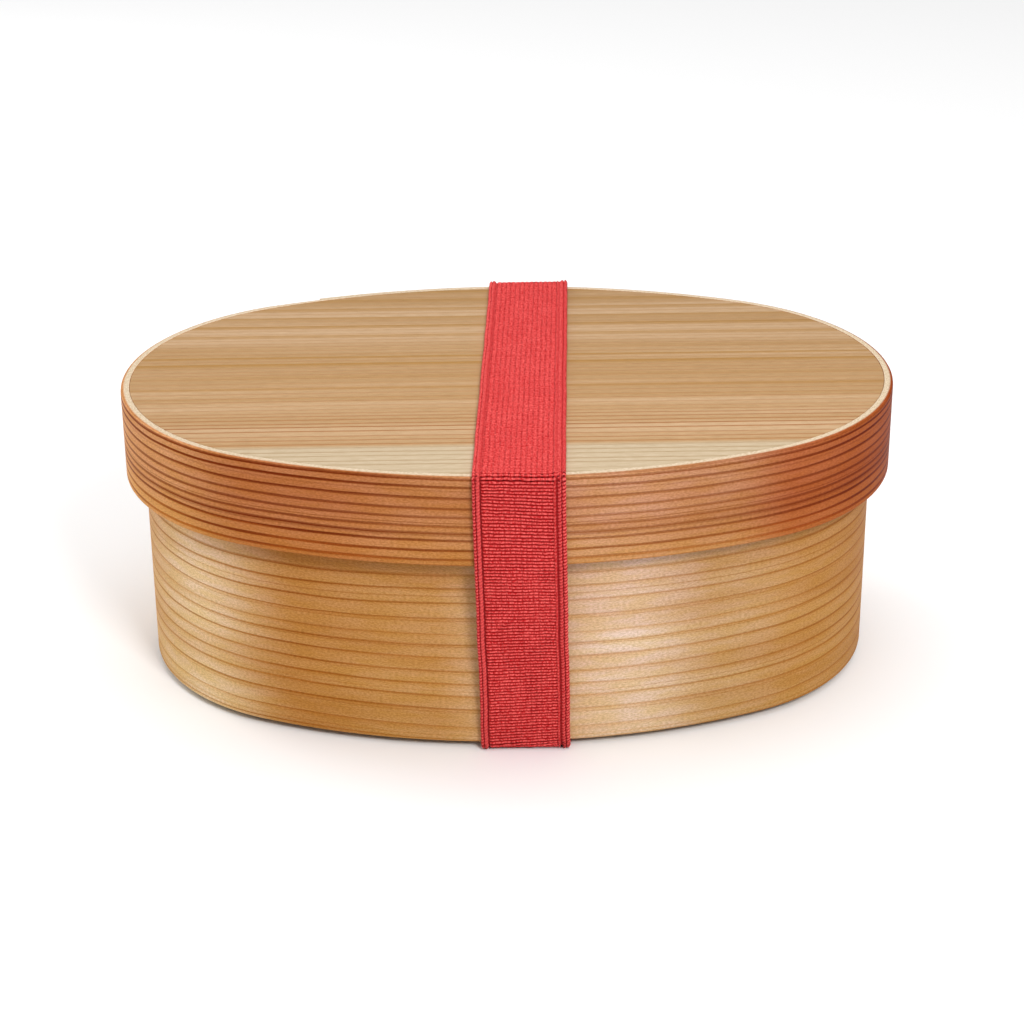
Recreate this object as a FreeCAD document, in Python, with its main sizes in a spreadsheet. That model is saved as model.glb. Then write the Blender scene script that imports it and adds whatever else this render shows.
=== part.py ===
"""Oval bentwood lunch box with an overlapping lid, a divider and an elastic band.

Frame: +X along the length, +Z up, origin on the ground under the middle of the box.
Millimetres throughout. The box is a bentwood ring with a board let into it, closed by
a shallower ring with its own board. Each ring is one strip whose ends overlap on the
back and are laced together with bark.
"""
import FreeCAD, Part
import math
import os

import Sketcher

DIMENSIONS = {
    # Four-centred oval: the lid's outline, from which every other oval is inset
    "end_centre": "37",          # end arcs' centres stand this far along X
    "side_centre": "81.6",       # side arcs' centres stand this far across the box
    "end_radius": "53",
    # Lid
    "hoop_height": "21",
    "hoop_thickness": "2.8",
    "hoop_rabbet": "0.8",
    "hoop_round": "0.9",
    "lid_fit": "1.6",            # air between the hoop and the base wall
    "rim_clearance": "0.2",      # air between the base's rim and the lid board
    # Base
    "wall_height": "62.8",
    "wall_thickness": "3",
    "wall_rabbet": "1",
    "wall_round": "0.8",
    "lower_edge_round": "0.5",
    "board_thickness": "4",
    "board_recess": "1",
    "board_ease": "0.25",        # small chamfer round each board's outer face
    "glue_gap": "0.1",
    # Scarfed lap of each strip, as angles from the middle of the back
    "lap_inner_angle": "3",
    "lap_outer_angle": "19",
    "scarf_tip": "0.6",
    # Bark lacing
    "lacing_angle": "11",
    "lacing_width": "3.6",
    "lacing_thickness": "0.4",
    "lacing_pitch": "5",
    "lacing_bar": "9",
    "lacing_link": "2.88",       # width of the slanting links inside
    "lacing_lift": "0.02",       # air between the bark and the wood
    "slit_clearance": "0.06",
    "lid_lacing_start": "2.2",   # above the hoop's lower edge
    "lid_lacing_rows": "3",
    "base_lacing_start": "5.6",  # above the wall's lower edge
    "base_lacing_rows": "8",
    # Divider
    "divider_place": "20",
    "divider_thickness": "4",
    "divider_height": "48",
    "divider_clearance": "0.3",
    "divider_round": "6",
    "divider_ease": "0.6",
    # Elastic band
    "band_width": "20",
    "band_thickness": "1.2",
    "band_gap": "0.3",           # air between the band and the box
    "band_place": "5.2",         # where the band's middle crosses the ground, along X
    "band_skew": "0.045",        # drift along X for each unit of Y
    "band_lean": "-0.0174",      # drift along X for each unit of Z
    "band_bend": "0.9",          # radius inside each bend
    "band_split": "45",
    "band_overlap": "15",
    "overlap_foot": "13",
    "overlap_taper": "1.5",      # the sewn end's thinned stretch
    "overlap_tuck": "0.1",       # how far its sides lie inside the band's
    "overlap_sink": "0.2",       # how far it is merged into the layer below
    "seam_margin": "1.5",        # from each side of the band to its stitches
    "thread_thickness": "0.35",
    "thread_lift": "0.02",
    "stitch_length": "1.6",
    "stitches_per_row": "8",
    "stitch_rows": "2",
    # How far a cut runs on past the solid that it cuts
    "overcut": "1",
}

SAME = 1e-6          # lengths closer than this are equal
LEAST_CUT = 1e-3     # a cut takes at least this volume

# Places that several sub-parts share, as expressions of the sheet
FOOT = "(Dimensions.band_thickness + Dimensions.band_gap)"
RIM = f"({FOOT} + Dimensions.wall_height)"
LID_TOP = f"({RIM} + Dimensions.rim_clearance + Dimensions.board_thickness)"
HOOP_FOOT = f"({LID_TOP} - Dimensions.hoop_height)"
BASE_INSET = "(Dimensions.hoop_thickness + Dimensions.lid_fit)"
LID_INSET = "0"
LID_BOARD_INSET = "(Dimensions.hoop_thickness - Dimensions.hoop_rabbet)"
BASE_BOARD_INSET = f"({BASE_INSET} + Dimensions.wall_thickness - Dimensions.wall_rabbet)"

# Radius of the lid's side arcs, which meet the end arcs without a corner
SIDE_RADIUS = "(Dimensions.end_radius + hypot(Dimensions.end_centre; Dimensions.side_centre))"

# Half the divider's length, so that its corners clear the lapped wall at its widest place
LAPPED_RADIUS = (
    f"({SIDE_RADIUS} - {BASE_INSET} - Dimensions.wall_thickness"
    " - Dimensions.scarf_tip - Dimensions.glue_gap)"
)
DIVIDER_EDGE = "(Dimensions.divider_place + Dimensions.divider_thickness / 2)"
DIVIDER_HALF = (
    f"(sqrt({LAPPED_RADIUS} ^ 2 - {DIVIDER_EDGE} ^ 2)"
    " - Dimensions.side_centre - Dimensions.divider_clearance)"
)
DIVIDER_FOOT = f"({FOOT} + Dimensions.board_recess + Dimensions.board_thickness + Dimensions.rim_clearance)"

MADE = []


# ---------------------------------------------------------------- shared helpers

def make_sheet(document):
    """The spreadsheet that every size is bound to."""
    sheet = document.addObject("Spreadsheet::Sheet", "Dimensions")
    for row, (alias, value) in enumerate(DIMENSIONS.items(), start=1):
        sheet.set(f"A{row}", alias)
        sheet.set(f"B{row}", value)
        sheet.setAlias(f"B{row}", alias)
    document.recompute()


def size(expression):
    """The value of a sheet cell or an expression, for outlines drawn point by point."""
    sheet = FreeCAD.ActiveDocument.getObject("Dimensions")
    if expression in DIMENSIONS:
        expression = f"Dimensions.{expression}"
    return float(sheet.evalExpression(expression))


def new_body(document, name):
    """A named body that ends up as one sub-part."""
    body = document.addObject("PartDesign::Body", name)
    body.Label = name
    MADE.append(body)
    return body


def origin_feature(body, role):
    """One of the body's own origin planes or axes."""
    return next(item for item in body.Origin.OriginFeatures if item.Role == role)


def new_sketch(body, name, height="0 mm"):
    """A sketch on the body's ground plane, raised by the expression height."""
    sketch = body.newObject("Sketcher::SketchObject", f"{body.Name}_{name}")
    sketch.AttachmentSupport = [(origin_feature(body, "XY_Plane"), "")]
    sketch.MapMode = "FlatFace"
    sketch.setExpression("AttachmentOffset.Base.z", height)
    return sketch


def bind(sketch, constraint, expression):
    """Add a dimension to a sketch and bind it to the sheet."""
    index = sketch.addConstraint(constraint)
    sketch.setExpression(f"Constraints[{index}]", expression)


def draw_oval(sketch, inset_expression):
    """Four tangent arcs, inset from the lid's outline by the same amount all round."""
    inset = size(inset_expression)
    across = size("end_centre")
    down = size("side_centre")
    end = size("end_radius") - inset
    side = size(SIDE_RADIUS) - inset
    turn = math.atan2(down, across)
    up = FreeCAD.Vector(0, 0, 1)
    arcs = (
        (FreeCAD.Vector(across, 0, 0), end, -turn, turn),
        (FreeCAD.Vector(0, -down, 0), side, turn, math.pi - turn),
        (FreeCAD.Vector(-across, 0, 0), end, math.pi - turn, math.pi + turn),
        (FreeCAD.Vector(0, down, 0), side, math.pi + turn, 2 * math.pi - turn),
    )
    for centre, radius, start, stop in arcs:
        sketch.addGeometry(Part.ArcOfCircle(Part.Circle(centre, up, radius), start, stop), False)
    constrain = Sketcher.Constraint
    for arc in range(3):
        sketch.addConstraint(constrain("Tangent", arc, 2, arc + 1, 1))
    sketch.addConstraint(constrain("Vertical", 0, 1, 0, 2))
    sketch.addConstraint(constrain("Horizontal", 3, 1, 3, 2))
    for arc, axis in ((0, -1), (1, -2), (2, -1), (3, -2)):
        sketch.addConstraint(constrain("PointOnObject", arc, 3, axis))
    bind(sketch, constrain("DistanceX", -1, 1, 0, 3, across), "Dimensions.end_centre")
    bind(sketch, constrain("DistanceX", 2, 3, -1, 1, across), "Dimensions.end_centre")
    bind(sketch, constrain("DistanceY", 1, 3, -1, 1, down), "Dimensions.side_centre")
    bind(sketch, constrain("DistanceY", -1, 1, 3, 3, down), "Dimensions.side_centre")
    bind(sketch, constrain("Radius", 0, end), f"Dimensions.end_radius - ({inset_expression})")


def pad(body, sketch, height):
    """Raise a sketch into a solid by the expression height."""
    feature = body.newObject("PartDesign::Pad", f"{sketch.Name}_pad")
    feature.Profile = sketch
    feature.setExpression("Length", height)
    body.Document.recompute()
    return feature


def cut_up(body, sketch, height):
    """Cut a sketch upward by the expression height, and check that it took material."""
    before = body.Shape.Volume
    feature = body.newObject("PartDesign::Pocket", f"{sketch.Name}_cut")
    feature.Profile = sketch
    feature.Reversed = True
    feature.setExpression("Length", height)
    body.Document.recompute()
    if feature.Shape.Volume > before - LEAST_CUT:
        raise RuntimeError(f"{feature.Name} cut nothing")
    return feature


def edges_at(shape, height):
    """Names of the edges that lie level at a height."""
    names = []
    for number, edge in enumerate(shape.Edges, start=1):
        box = edge.BoundBox
        if abs(box.ZMin - height) < SAME and abs(box.ZMax - height) < SAME:
            names.append(f"Edge{number}")
    return names


def round_edges(body, feature, height, expression):
    """Round the level edges of a feature at one height."""
    fillet = body.newObject("PartDesign::Fillet", f"{feature.Name}_round_{len(body.Group)}")
    fillet.Base = (feature, edges_at(feature.Shape, height))
    fillet.setExpression("Radius", expression)
    body.Document.recompute()
    return fillet


# ---------------------------------------------------------------- bentwood rings

def back_point(inset, angle):
    """A point behind the box: inset from the lid's outline, angle to the left of the middle."""
    radius = size(SIDE_RADIUS) - inset
    turn = math.radians(angle)
    return FreeCAD.Vector(-radius * math.sin(turn), radius * math.cos(turn) - size("side_centre"), 0)


def back_run(start, stop):
    """An arc behind the box between two (inset, angle) places, drifting evenly from one to the other."""
    middle = ((start[0] + stop[0]) / 2, (start[1] + stop[1]) / 2)
    return Part.Arc(back_point(*start), back_point(*middle), back_point(*stop))


def straight(start, stop):
    """A short straight step between two (inset, angle) places."""
    return Part.LineSegment(back_point(*start), back_point(*stop))


def draw_lapped_hollow(sketch, inset, thickness):
    """The hollow of a lapped strip: its inside, the glue line of the lap and the step outside.

    The inside is a plain oval but for the lap, where the strip's inner end lies against
    its outer end. The two are scarfed, so that the lap is only a little thicker.
    """
    tip = size("scarf_tip")
    glue = size("glue_gap")
    near = size("lap_inner_angle")
    far = size("lap_outer_angle")
    joint = math.degrees(math.atan2(size("end_centre"), size("side_centre")))
    inner = inset + thickness
    lapped = inner + tip + glue
    outside = inset - 2 * size("overcut")
    end = size("end_radius") - inner
    side = size(SIDE_RADIUS) - inner
    turn = math.atan2(size("side_centre"), size("end_centre"))
    across = FreeCAD.Vector(size("end_centre"), 0, 0)
    down = FreeCAD.Vector(0, size("side_centre"), 0)
    up = FreeCAD.Vector(0, 0, 1)
    pieces = [
        Part.ArcOfCircle(Part.Circle(-down, up, side), turn, math.pi / 2 + math.radians(near)),
        Part.ArcOfCircle(Part.Circle(across, up, end), -turn, turn),
        Part.ArcOfCircle(Part.Circle(down, up, side), math.pi + turn, 2 * math.pi - turn),
        Part.ArcOfCircle(Part.Circle(-across, up, end), math.pi - turn, math.pi + turn),
        back_run((inner, joint), (lapped, far)),
        back_run((lapped, far), (lapped, near)),
        straight((lapped, near), (inner + glue, near)),
        back_run((inner + glue, near), (inset + tip + glue, far)),
        back_run((inset + tip + glue, far), (inset, joint)),
        straight((inset, joint), (outside, joint)),
        back_run((outside, joint), (outside, far)),
        straight((outside, far), (inset + tip, far)),
        back_run((inset + tip, far), (inner, near)),
    ]
    sketch.addGeometry(pieces, False)


def draw_slits(sketch, inset):
    """The pair of upright slits that one row of lacing passes through, seen from above."""
    half_bar = size("lacing_bar") / 2 - size("lacing_thickness") / 2
    half_slit = size("lacing_thickness") / 2 + size("slit_clearance")
    outside = size("overcut")
    inside = -2 * size("wall_thickness")
    turn = FreeCAD.Rotation(FreeCAD.Vector(0, 0, 1), size("lacing_angle"))
    middle = back_point(inset, size("lacing_angle"))
    for side in (-1, 1):
        left = side * half_bar - half_slit
        right = side * half_bar + half_slit
        corners = [(left, inside), (right, inside), (right, outside), (left, outside)]
        points = [middle + turn.multVec(FreeCAD.Vector(x, y, 0)) for x, y in corners]
        for first, second in zip(points, points[1:] + points[:1]):
            sketch.addGeometry(Part.LineSegment(first, second), False)


def cut_lacing_slits(body, inset, start, rows):
    """Cut one row of slits and repeat it up the lap."""
    sketch = new_sketch(body, "slits", f"Dimensions.{start} - Dimensions.slit_clearance")
    draw_slits(sketch, inset)
    row = cut_up(body, sketch, "Dimensions.lacing_width + 2 * Dimensions.slit_clearance")
    pattern = body.newObject("PartDesign::LinearPattern", f"{body.Name}_slit_rows")
    pattern.Originals = [row]
    pattern.Direction = (origin_feature(body, "Z_Axis"), [""])
    pattern.setExpression("Occurrences", f"Dimensions.{rows}")
    pattern.setExpression("Length", f"(Dimensions.{rows} - 1) * Dimensions.lacing_pitch")
    body.Tip = pattern
    body.Document.recompute()
    if pattern.Shape.Volume > row.Shape.Volume - LEAST_CUT:
        raise RuntimeError(f"{pattern.Name} cut nothing")


def make_lid_hoop(document):
    """The lid's bent strip, with a rabbet inside its upper edge for the board."""
    body = new_body(document, "lid_hoop")
    body.setExpression("Placement.Base.z", HOOP_FOOT)
    outline = new_sketch(body, "outline")
    draw_oval(outline, LID_INSET)
    block = pad(body, outline, "Dimensions.hoop_height")
    block = round_edges(body, block, size("hoop_height"), "Dimensions.hoop_round")
    round_edges(body, block, 0, "Dimensions.lower_edge_round")
    hollow = new_sketch(body, "hollow")
    draw_lapped_hollow(hollow, size(LID_INSET), size("hoop_thickness"))
    cut_up(body, hollow, "Dimensions.hoop_height + Dimensions.overcut")
    rabbet = new_sketch(body, "rabbet", "Dimensions.hoop_height - Dimensions.board_thickness")
    draw_oval(rabbet, LID_BOARD_INSET)
    cut_up(body, rabbet, "Dimensions.board_thickness + Dimensions.overcut")
    cut_lacing_slits(body, size(LID_INSET), "lid_lacing_start", "lid_lacing_rows")


def make_base_wall(document):
    """The base's bent strip, with a rabbet inside its lower edge for the board."""
    body = new_body(document, "base_wall")
    body.setExpression("Placement.Base.z", FOOT)
    outline = new_sketch(body, "outline")
    draw_oval(outline, BASE_INSET)
    block = pad(body, outline, "Dimensions.wall_height")
    block = round_edges(body, block, size("wall_height"), "Dimensions.wall_round")
    round_edges(body, block, 0, "Dimensions.wall_round")
    hollow = new_sketch(body, "hollow")
    draw_lapped_hollow(hollow, size(BASE_INSET), size("wall_thickness"))
    cut_up(body, hollow, "Dimensions.wall_height + Dimensions.overcut")
    rabbet = new_sketch(body, "rabbet")
    draw_oval(rabbet, BASE_BOARD_INSET)
    cut_up(body, rabbet, "Dimensions.board_thickness + Dimensions.board_recess")
    cut_lacing_slits(body, size(BASE_INSET), "base_lacing_start", "base_lacing_rows")


# ---------------------------------------------------------------- boards and divider

def make_board(document, name, inset, height, outer_face):
    """An oval board glued into a ring's rabbet, its outer face's edge eased."""
    body = new_body(document, name)
    body.setExpression("Placement.Base.z", height)
    outline = new_sketch(body, "outline")
    draw_oval(outline, f"{inset} + Dimensions.glue_gap")
    block = pad(body, outline, "Dimensions.board_thickness")
    chamfer = body.newObject("PartDesign::Chamfer", f"{name}_eased_edge")
    chamfer.Base = (block, edges_at(block.Shape, outer_face))
    chamfer.setExpression("Size", "Dimensions.board_ease")


def make_boards(document):
    """The lid's board, flush with its hoop, and the base's, set a little above its lower edge."""
    lid_place = f"{LID_TOP} - Dimensions.board_thickness"
    base_place = f"{FOOT} + Dimensions.board_recess"
    make_board(document, "lid_board", LID_BOARD_INSET, lid_place, size("board_thickness"))
    make_board(document, "base_bottom", BASE_BOARD_INSET, base_place, 0)


def round_board(document, name, board, edges, radius):
    """A board with the numbered edges rounded."""
    rounded = document.addObject("Part::Fillet", name)
    rounded.Base = board
    rounded.Edges = [(number, size(radius), size(radius)) for number in edges]
    document.recompute()
    return rounded


def make_divider(document):
    """The loose board across the base, with rounded upper corners and eased edges."""
    board = document.addObject("Part::Box", "divider_board")
    board.setExpression("Length", "Dimensions.divider_thickness")
    board.setExpression("Width", f"2 * {DIVIDER_HALF}")
    board.setExpression("Height", "Dimensions.divider_height")
    document.recompute()
    upper = [
        number
        for number, edge in enumerate(board.Shape.Edges, start=1)
        if edge.BoundBox.XLength > SAME and edge.BoundBox.ZMin > size("divider_height") - SAME
    ]
    corners = round_board(document, "divider_corners", board, upper, "divider_round")
    rim = [
        number
        for number, edge in enumerate(corners.Shape.Edges, start=1)
        if edge.BoundBox.XLength < SAME and edge.BoundBox.ZMax > SAME
    ]
    divider = round_board(document, "divider", corners, rim, "divider_ease")
    divider.Label = "divider"
    divider.setExpression("Placement.Base.x", "Dimensions.divider_place - Dimensions.divider_thickness / 2")
    divider.setExpression("Placement.Base.y", f"-{DIVIDER_HALF}")
    divider.setExpression("Placement.Base.z", DIVIDER_FOOT)
    MADE.append(divider)


# ---------------------------------------------------------------- bark lacing

# Lengths of bark along the lap, through it and between two rows, as expressions of the sheet
LEG_SPACING = "(Dimensions.lacing_bar - Dimensions.lacing_thickness)"
LINK_LENGTH = f"hypot(Dimensions.lacing_pitch; {LEG_SPACING})"


def bark_piece(document, name, sizes, place, tilt):
    """One flat length of bark: tangential length, radial width and upright height.

    It is set square to the wall at the middle of the lap, then tilted about the radial axis.
    """
    piece = document.addObject("Part::Box", name)
    for side, expression in zip(("Length", "Width", "Height"), sizes):
        piece.setExpression(side, expression)
    half = FreeCAD.Vector(*(size(expression) / 2 for expression in sizes))
    centred = FreeCAD.Placement(-half, FreeCAD.Rotation())
    lean = FreeCAD.Placement(FreeCAD.Vector(*place), FreeCAD.Rotation(FreeCAD.Vector(0, 1, 0), tilt))
    turn = FreeCAD.Rotation(FreeCAD.Vector(0, 0, 1), size("lacing_angle"))
    piece.Placement = FreeCAD.Placement(FreeCAD.Vector(), turn).multiply(lean).multiply(centred)
    return piece


def make_lacing(document, name, inset, wood, foot, rows):
    """A strip of bark laced up the lap: level bars outside, slanting links inside.

    inset and wood are the strip's place and thickness, and foot is the lowest row's lower
    edge, all as expressions of the sheet.
    """
    bar, width, thin = "Dimensions.lacing_bar", "Dimensions.lacing_width", "Dimensions.lacing_thickness"
    radial = f"({SIDE_RADIUS} - {inset})"
    sagitta = f"(({bar} + {width}) ^ 2 / (8 * {radial}))"
    outside = f"(Dimensions.lacing_lift + {thin})"
    inside = f"({wood} + Dimensions.scarf_tip + Dimensions.glue_gap + {sagitta} + {outside})"
    depth = f"({outside} + {inside})"
    back = FreeCAD.Vector(0, -size("side_centre"), 0)
    unturned = FreeCAD.Rotation(FreeCAD.Vector(0, 0, 1), -size("lacing_angle")).multVec(back)
    face = unturned.y + size(radial)
    pitch = size("lacing_pitch")
    spacing = size(LEG_SPACING)
    slant = math.degrees(math.atan2(pitch, spacing))
    pieces = []
    for row in range(rows):
        level = size(foot) + size(width) / 2 + row * pitch
        middle = (unturned.x, face + size(outside) - size(thin) / 2, level)
        pieces.append(bark_piece(document, f"{name}_bar_{row}", (bar, thin, width), middle, 0))
        for side, word in ((-1, "left"), (1, "right")):
            leg = (unturned.x + side * spacing / 2, face + size(outside) - size(depth) / 2, level)
            pieces.append(bark_piece(document, f"{name}_{word}_leg_{row}", (thin, depth, width), leg, 0))
        if row < rows - 1:
            link = (unturned.x, face - size(inside) + size(thin) / 2, level + pitch / 2)
            link_sizes = (LINK_LENGTH, thin, "Dimensions.lacing_link")
            pieces.append(bark_piece(document, f"{name}_link_{row}", link_sizes, link, slant))
    lacing = document.addObject("Part::MultiFuse", name)
    lacing.Shapes = pieces
    lacing.Label = name
    MADE.append(lacing)


def make_lacings(document):
    """The lid's short lacing and the base's, which stays below the closed lid."""
    lid_foot = f"({HOOP_FOOT} + Dimensions.lid_lacing_start)"
    base_foot = f"({FOOT} + Dimensions.base_lacing_start)"
    lid_rows = int(size("lid_lacing_rows"))
    base_rows = int(size("base_lacing_rows"))
    make_lacing(document, "lid_lacing", LID_INSET, "Dimensions.hoop_thickness", lid_foot, lid_rows)
    make_lacing(document, "base_lacing", BASE_INSET, "Dimensions.wall_thickness", base_foot, base_rows)


# ---------------------------------------------------------------- elastic band

def band_vector(y, z, shift=0.0):
    """A point of the band's left edge line: the band drifts along X as it goes round."""
    left = size("band_place") - size("band_width") / 2
    drift = size("band_skew") * y + size("band_lean") * z
    return FreeCAD.Vector(left + drift + shift, y, z)


def band_corners(grow):
    """Corners of the loop in Y and Z, grown outward from its inner face.

    The taut band lies closer over the lid than beside it.
    """
    lid_side = size(SIDE_RADIUS) - size("side_centre") + size("band_gap")
    foot_side = lid_side - size(BASE_INSET)
    shoulder = size(HOOP_FOOT)
    top = size(LID_TOP) + size("band_gap") / 2
    bottom = size("band_thickness")
    right = [
        (foot_side + grow, bottom - grow),
        (lid_side + grow, shoulder),
        (lid_side + grow, top + grow),
    ]
    return right + [(-y, z) for y, z in reversed(right)]


def band_block(corners, bend, trim=0.0):
    """A block with the loop's outline, as wide as the band, its bends rounded."""
    points = [band_vector(y, z, trim) for y, z in corners]
    face = Part.Face(Part.makePolygon(points + points[:1]))
    block = face.extrude(FreeCAD.Vector(size("band_width") - 2 * trim, 0, 0))
    sharp = []
    for edge in block.Edges:
        along_x = edge.BoundBox.YLength < SAME and edge.BoundBox.ZLength < SAME
        shoulder = abs(edge.BoundBox.ZMin - size(HOOP_FOOT)) < SAME
        if along_x and not shoulder:
            sharp.append(edge)
    return block.makeFillet(bend, sharp)


def overlap_frame():
    """Where the band's sewn overlap starts on the back run, and the run's direction."""
    corners = band_corners(size("band_thickness"))
    foot = FreeCAD.Vector(0, *corners[0])
    shoulder = FreeCAD.Vector(0, *corners[1])
    along = (shoulder - foot).normalize()
    start = foot + along * size("overlap_foot")
    outward = FreeCAD.Vector(0, along.z, -along.y)
    return start, along, outward


def band_overlap():
    """The sewn-down end of the band: a second layer on the back run with thinned ends."""
    start, along, outward = overlap_frame()
    full = outward * size("band_thickness")
    thinned = full * 0.5
    sunk = outward * -size("overlap_sink")
    taper = size("overlap_taper")
    length = size("band_overlap")
    tuck = size("overlap_tuck")
    corners = [
        start + sunk,
        start + thinned,
        start + along * taper + full,
        start + along * (length - taper) + full,
        start + along * length + thinned,
        start + along * length + sunk,
    ]
    points = [band_vector(corner.y, corner.z, tuck) for corner in corners]
    face = Part.Face(Part.makePolygon(points + points[:1]))
    return face.extrude(FreeCAD.Vector(size("band_width") - 2 * tuck, 0, 0))


def add_shape(document, name, shape):
    """A sub-part whose shape is made with Part's own functions."""
    feature = document.addObject("Part::Feature", name)
    feature.Shape = shape
    feature.Label = name
    feature.Placement = FreeCAD.Placement()
    MADE.append(feature)


def make_band(document):
    """The band's lower part, under the box, and its upper part, over the lid.

    They are one elastic strap. It is parted at a level below the lid's lower edge, where
    it stretches when the lid is lifted inside it.
    """
    bend = size("band_bend")
    outer = band_block(band_corners(size("band_thickness")), bend + size("band_thickness"))
    hollow = band_block(band_corners(0), bend, -size("overcut"))
    loop = outer.cut(hollow)
    reach = 2 * size(SIDE_RADIUS)
    below = Part.makeBox(reach, reach, reach)
    below.translate(FreeCAD.Vector(-reach / 2, -reach / 2, size("band_split") - size("glue_gap") - reach))
    above = Part.makeBox(reach, reach, reach)
    above.translate(FreeCAD.Vector(-reach / 2, -reach / 2, size("band_split") + size("glue_gap")))
    add_shape(document, "band_lower", loop.common(below).fuse(band_overlap()).removeSplitter())
    add_shape(document, "band_upper", loop.common(above))


def make_seam_thread(document):
    """Rows of stitches that hold the band's overlap down."""
    start, along, outward = overlap_frame()
    radius = size("thread_thickness") / 2
    margin = size("seam_margin")
    length = size("stitch_length")
    rows = int(size("stitch_rows"))
    count = int(size("stitches_per_row"))
    row_pitch = size("band_overlap") / rows
    pitch = (size("band_width") - 2 * margin) / count
    lift = size("band_thickness") + radius + size("thread_lift")
    stitches = []
    for row in range(rows):
        place = start + along * (row + 0.5) * row_pitch + outward * lift
        for number in range(count):
            shift = margin + (number + 0.5) * pitch - length / 2
            foot = band_vector(place.y, place.z, shift)
            stitches.append(Part.makeCylinder(radius, length, foot, FreeCAD.Vector(1, 0, 0)))
    add_shape(document, "band_seam_thread", Part.makeCompound(stitches))


# ---------------------------------------------------------------- document

def check(document):
    """Stop if any object failed or any sub-part is empty or broken."""
    for item in document.Objects:
        if "Invalid" in item.State or "Error" in item.State:
            raise RuntimeError(f"{item.Name} did not recompute: {item.State}")
    for item in MADE:
        if item.Shape.isNull() or not item.Shape.isValid():
            raise RuntimeError(f"{item.Label} has no valid shape")


def main():
    document = FreeCAD.newDocument("lunch_box")
    make_sheet(document)
    make_base_wall(document)
    make_lid_hoop(document)
    make_boards(document)
    make_divider(document)
    make_lacings(document)
    make_band(document)
    make_seam_thread(document)
    document.recompute()
    check(document)
    os.makedirs("parts", exist_ok=True)
    for item in MADE:
        item.Shape.exportStep(f"parts/{item.Label}.step")
        box = item.Shape.BoundBox
        print(f"{item.Label}: {item.Shape.Volume:.1f} mm3, {len(item.Shape.Solids)} solid(s), "
              f"x {box.XMin:.2f}..{box.XMax:.2f} y {box.YMin:.2f}..{box.YMax:.2f} "
              f"z {box.ZMin:.2f}..{box.ZMax:.2f}")


main()
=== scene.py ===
import math

import bmesh
import bpy
import numpy as np
from mathutils import Matrix, Vector


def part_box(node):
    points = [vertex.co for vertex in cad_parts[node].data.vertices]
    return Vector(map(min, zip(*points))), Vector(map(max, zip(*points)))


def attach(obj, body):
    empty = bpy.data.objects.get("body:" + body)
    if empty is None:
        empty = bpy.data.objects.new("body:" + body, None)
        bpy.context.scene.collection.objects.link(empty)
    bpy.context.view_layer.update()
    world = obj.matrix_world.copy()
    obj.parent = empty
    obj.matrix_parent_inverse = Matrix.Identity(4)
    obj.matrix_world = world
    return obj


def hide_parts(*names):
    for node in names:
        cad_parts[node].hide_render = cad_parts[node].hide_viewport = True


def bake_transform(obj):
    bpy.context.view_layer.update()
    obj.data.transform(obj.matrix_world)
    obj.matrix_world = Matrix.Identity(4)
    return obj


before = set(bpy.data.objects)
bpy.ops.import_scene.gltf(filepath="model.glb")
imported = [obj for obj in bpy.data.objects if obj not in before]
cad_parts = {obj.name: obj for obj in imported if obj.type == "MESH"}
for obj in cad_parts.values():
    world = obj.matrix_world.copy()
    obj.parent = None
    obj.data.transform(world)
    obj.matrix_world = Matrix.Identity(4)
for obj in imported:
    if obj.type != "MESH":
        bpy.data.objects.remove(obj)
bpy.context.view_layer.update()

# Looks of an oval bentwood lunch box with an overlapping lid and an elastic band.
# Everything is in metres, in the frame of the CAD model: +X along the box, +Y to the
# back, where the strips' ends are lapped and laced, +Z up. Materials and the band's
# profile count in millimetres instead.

MM = 0.001

# The four-centred oval that every outline is inset from
END_CENTRE = 37 * MM         # end arcs' centres, along X
SIDE_CENTRE = 81.6 * MM      # side arcs' centres, across the box
HOOP_LOW, HOOP_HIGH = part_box("lid_hoop")
WALL_LOW, WALL_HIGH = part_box("base_wall")
END_RADIUS = HOOP_HIGH.x - END_CENTRE
SIDE_RADIUS = END_RADIUS + math.hypot(END_CENTRE, SIDE_CENTRE)
JOIN = math.atan2(SIDE_CENTRE, END_CENTRE)      # outward direction where the arcs meet

# Strips
HOOP_THICKNESS = 2.8 * MM
WALL_THICKNESS = 3.0 * MM
BASE_INSET = HOOP_HIGH.x - WALL_HIGH.x
STATION = 0.9 * MM           # spacing of the cross-sections along a strip
PAINTED_SHEEN_AT = 258.0               # how far along a strip its painted sheen is brightest and its wood palest, in millimetres

# A strip's lapped ends, by outward direction
LAP_NEAR = math.radians(90 + 3)
LAP_FAR = math.radians(90 + 19)
LAP_RETURN = math.pi - JOIN
SCARF_TIP = 0.6 * MM
GLUE = 0.1 * MM
HIDDEN_EASE = 0.06           # how much of its rounding an edge keeps inside the lap

# Boards and the rabbets that hold them
BOARD_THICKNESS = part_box("lid_board")[1].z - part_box("lid_board")[0].z
HOOP_BOARD_INSET = HOOP_HIGH.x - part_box("lid_board")[1].x
BASE_BOARD_INSET = HOOP_HIGH.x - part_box("base_bottom")[1].x
BOARD_GAP = 0.03 * MM        # keeps a board's edge clear of its rabbet
BOARD_EASE = 0.1 * MM
LEAST_STRIP = 0.1 * MM       # a lapped end with less wood outside the rabbet is cut off at the shelf
LEAST_LIP = 0.02 * MM
SLIVER = 0.01 * MM           # keeps corners apart where the rabbet takes the whole thickness
SHELF_ROUND = 0.15 * MM      # where the strip's inner face meets the rabbet
RABBET_ROUND = 0.05 * MM     # inside the rabbet

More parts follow.
